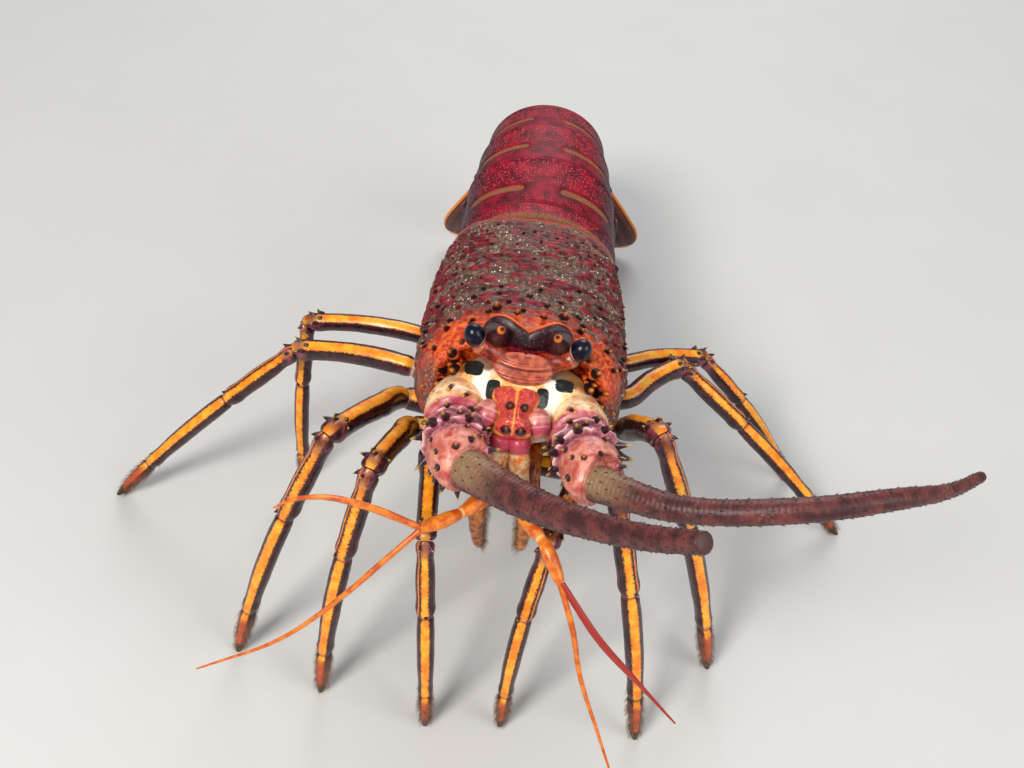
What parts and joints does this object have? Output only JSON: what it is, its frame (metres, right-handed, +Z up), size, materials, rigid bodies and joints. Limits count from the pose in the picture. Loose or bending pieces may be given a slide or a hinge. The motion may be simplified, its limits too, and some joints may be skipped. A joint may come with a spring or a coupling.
{
  "type": "spiny lobster",
  "caption": "Life-size still spiny lobster: spiny shell with horns, raised head, long broken feelers, slender striped legs and an arched tail with a fan.",
  "frame": {"origin": "on the floor, under the middle of the outline box", "axes": "+Z up; the head looks along -Y and the tail lies toward +Y; +X is the animal's left"},
  "size_m": [0.2914, 0.3227, 0.1642],
  "materials": {
    "eye": "glossy dark navy",
    "face": "cream and orange smooth shell",
    "feeler": "dusty maroon brown",
    "feeler_base": "rose shell with dark spines",
    "horn": "dark maroon with orange tips",
    "leg": "near-black maroon with a bright orange stripe",
    "plate": "orange-red, smooth",
    "shell": "taupe brown sediment over crimson shell, rough and spiny",
    "small_feeler": "orange, smooth",
    "stalk": "orange-red, smooth",
    "tail": "deep crimson with fine pale dots",
    "tail_fan": "dark maroon with an orange edge",
    "underside": "smooth red-brown plate"
  },
  "bodies": {
    "root": {"antenna_arm_l": "feeler_base", "antenna_arm_r": "feeler_base", "antenna_base_l": "feeler_base", "antenna_base_r": "feeler_base", "antenna_far_l": "feeler", "antenna_far_r": "feeler", "antenna_near_l": "feeler", "antenna_near_r": "feeler", "antennule_inner_l": "small_feeler", "antennule_inner_r": "small_feeler", "antennule_outer_l": "small_feeler", "antennule_outer_r": "small_feeler", "antennule_plate": "plate", "antennule_stem_l": "small_feeler", "antennule_stem_r": "small_feeler", "breast_plate": "underside", "carapace": "shell", "eye_l": "eye", "eye_r": "eye", "eyestalk_l": "stalk", "eyestalk_r": "stalk", "face": "face", "fan_inner_l": "tail_fan", "fan_inner_r": "tail_fan", "fan_outer_l": "tail_fan", "fan_outer_r": "tail_fan", "horn_l": "horn", "horn_r": "horn", "leg_1_lower_l": "leg", "leg_1_lower_r": "leg", "leg_1_upper_l": "leg", "leg_1_upper_r": "leg", "leg_2_lower_l": "leg", "leg_2_lower_r": "leg", "leg_2_upper_l": "leg", "leg_2_upper_r": "leg", "leg_3_lower_l": "leg", "leg_3_lower_r": "leg", "leg_3_upper_l": "leg", "leg_3_upper_r": "leg", "leg_4_lower_l": "leg", "leg_4_lower_r": "leg", "leg_4_upper_l": "leg", "leg_4_upper_r": "leg", "leg_5_lower_l": "leg", "leg_5_lower_r": "leg", "leg_5_upper_l": "leg", "leg_5_upper_r": "leg", "mouth_foot_l": "small_feeler", "mouth_foot_r": "small_feeler", "tail_ring_1": "tail", "tail_ring_2": "tail", "tail_ring_3": "tail", "tail_ring_4": "tail", "tail_ring_5": "tail", "tail_ring_6": "tail", "telson": "tail_fan"}
  },
  "joints": []
}
